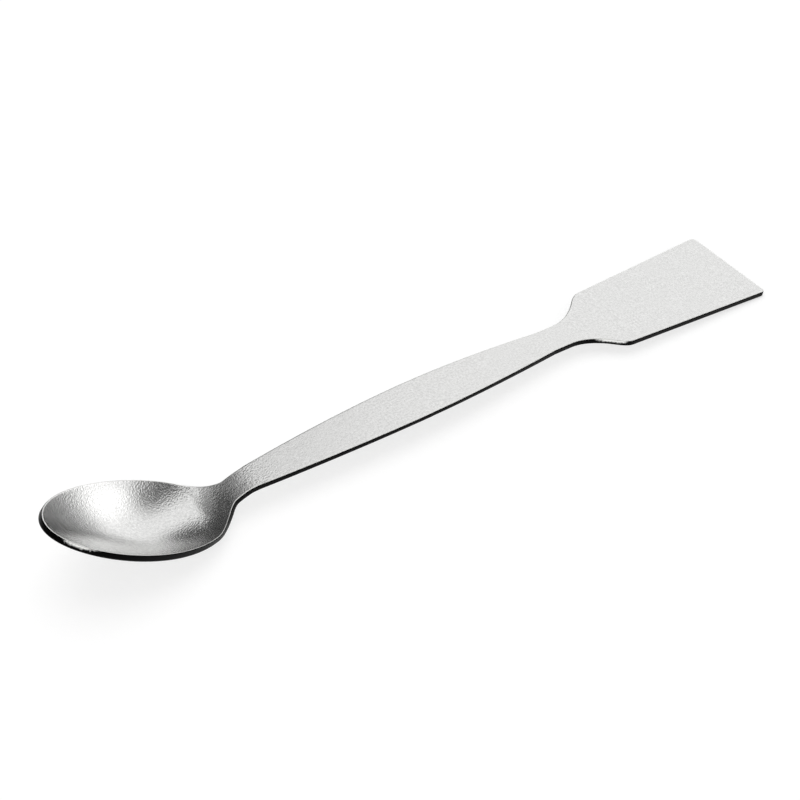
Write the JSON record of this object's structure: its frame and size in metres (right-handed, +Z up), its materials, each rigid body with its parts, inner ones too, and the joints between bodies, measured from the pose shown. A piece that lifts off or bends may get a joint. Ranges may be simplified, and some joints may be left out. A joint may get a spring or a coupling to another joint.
{
  "type": "lab spatula",
  "caption": "Stainless steel laboratory spatula with a shallow spoon at one end and a flat flared blade at the other, for scooping, weighing out and scraping powders.",
  "frame": {"origin": "on the table under the middle of the spatula, half way between the spoon's tip and the blade's end", "axes": "+X along the length from the spoon to the blade, +Y across the width, +Z up, as it lies with the bowl's hollow upward"},
  "size_m": [0.15, 0.0214, 0.0167],
  "materials": {
    "stainless_steel": "fine matt, blasted and tumbled, with bright rounded edges"
  },
  "bodies": {
    "root": {"spatula": "stainless_steel"}
  },
  "joints": []
}
